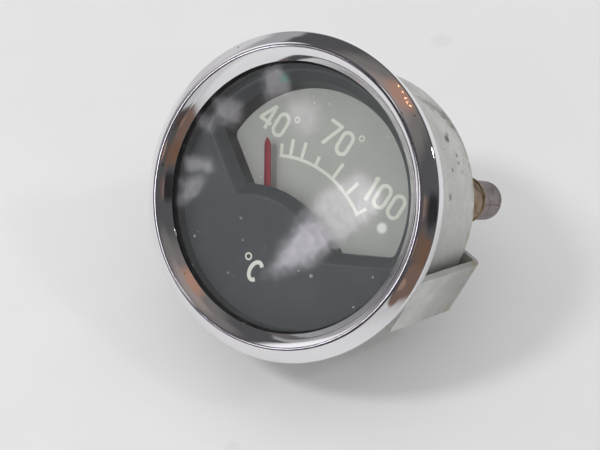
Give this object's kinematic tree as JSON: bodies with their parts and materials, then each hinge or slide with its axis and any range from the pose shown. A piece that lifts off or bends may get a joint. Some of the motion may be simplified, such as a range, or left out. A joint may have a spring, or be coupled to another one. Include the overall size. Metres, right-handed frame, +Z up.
{
  "type": "water temperature gauge",
  "caption": "Round panel-mounted electric temperature gauge with a chromed bezel, curved scale, pointer, clip-in lamp and a clamping bracket on a rear stud.",
  "frame": {"origin": "on the case's axis, in the plane where the back of the bezel seats on the front of the panel", "axes": "+X to the right as the driver sees the dial, +Y rearwards through the panel along the case's axis, +Z up the dial"},
  "size_m": [0.06, 0.0512, 0.06],
  "materials": {
    "chrome": "bright chromium plating",
    "zinc": "dull zinc plating, lightly stained",
    "clear_glass": "flat polished glass",
    "gasket_rubber": "matt",
    "dark_paint": "satin",
    "mask_paint": "satin slate grey, cream print",
    "plate_paint": "satin pale grey, cream print",
    "pointer_paint": "satin crimson",
    "steel": "machined steel",
    "dark_steel": "soft iron, satin",
    "brass": "satin",
    "phenolic": "brown moulding",
    "copper_wire": "enamelled copper wire",
    "magnet": "ground magnet alloy",
    "bronzed_brass": "darkened, satin",
    "fibre": "laminated board",
    "bulb_glass": "thin blown glass",
    "nickel": "dull nickel plating"
  },
  "bodies": {
    "gauge": {"bezel": "chrome", "lens": "clear_glass", "lens_gasket": "gasket_rubber", "spacer_ring": "dark_paint", "case": "zinc", "dial_mask": "mask_paint", "scale_plate": "plate_paint", "dial_screws": "steel", "stop_pins": "steel", "front_bridge": "brass", "front_bearing": "brass", "pillars": "brass", "yoke": "dark_steel", "pivot_screw": "brass", "coil_bobbin_left": "phenolic", "coil_bobbin_right": "phenolic", "winding_left": "copper_wire", "winding_right": "copper_wire", "core_left": "dark_steel", "core_right": "dark_steel", "terminal_studs": "brass", "inner_insulators": "phenolic", "outer_insulators": "phenolic", "terminal_washers": "nickel", "terminal_nuts": "brass", "bracket_stud": "nickel", "lamp_socket": "brass"},
    "pointer_arm": {"spindle": "steel", "pointer_hub": "pointer_paint", "pointer": "pointer_paint", "balance_tail": "pointer_paint", "armature": "magnet"},
    "lamp": {"lamp_holder": "bronzed_brass", "lamp_insulator": "fibre", "lamp_contact": "brass", "bulb_cap": "brass", "bulb_glass": "bulb_glass"},
    "spring_washer": {"spring_washer": "steel"},
    "washer": {"plain_washer": "zinc"},
    "bracket": {"mounting_bracket": "zinc"},
    "nut": {"knurled_nut": "nickel"}
  },
  "joints": [
    {"name": "pointer_swing", "type": "hinge", "parent": "gauge", "child": "pointer_arm", "pos_m": [0, 0.004, -0.0143], "axis": [0, 1, 0], "range_deg": [0, 68.6]},
    {"name": "lamp_pull", "type": "slide", "parent": "gauge", "child": "lamp", "axis": [0, 1, 0], "range_m": [0, 0.028]},
    {"name": "nut_travel", "type": "slide", "parent": "gauge", "child": "spring_washer", "axis": [0, 1, 0], "range_m": [0, 0.0056]},
    {"name": "nut_spin", "type": "hinge", "parent": "spring_washer", "child": "nut", "pos_m": [0, 0.0328, 0], "axis": [0, 1, 0], "range_deg": [0, 2520]},
    {"name": "bracket_swivel", "type": "hinge", "parent": "spring_washer", "child": "washer", "pos_m": [0, 0.0285, 0], "axis": [0, 1, 0], "range_deg": [-1.5, 12]},
    {"name": "bracket_rock", "type": "hinge", "parent": "washer", "child": "bracket", "pos_m": [0, 0.02656, 0], "axis": [0.9997, 0, -0.0262], "range_deg": [-17.2, 0]}
  ],
  "couplings": [
    {"joint": "nut_travel", "follows": "nut_spin", "m_per_rad": 0.00012732}
  ]
}
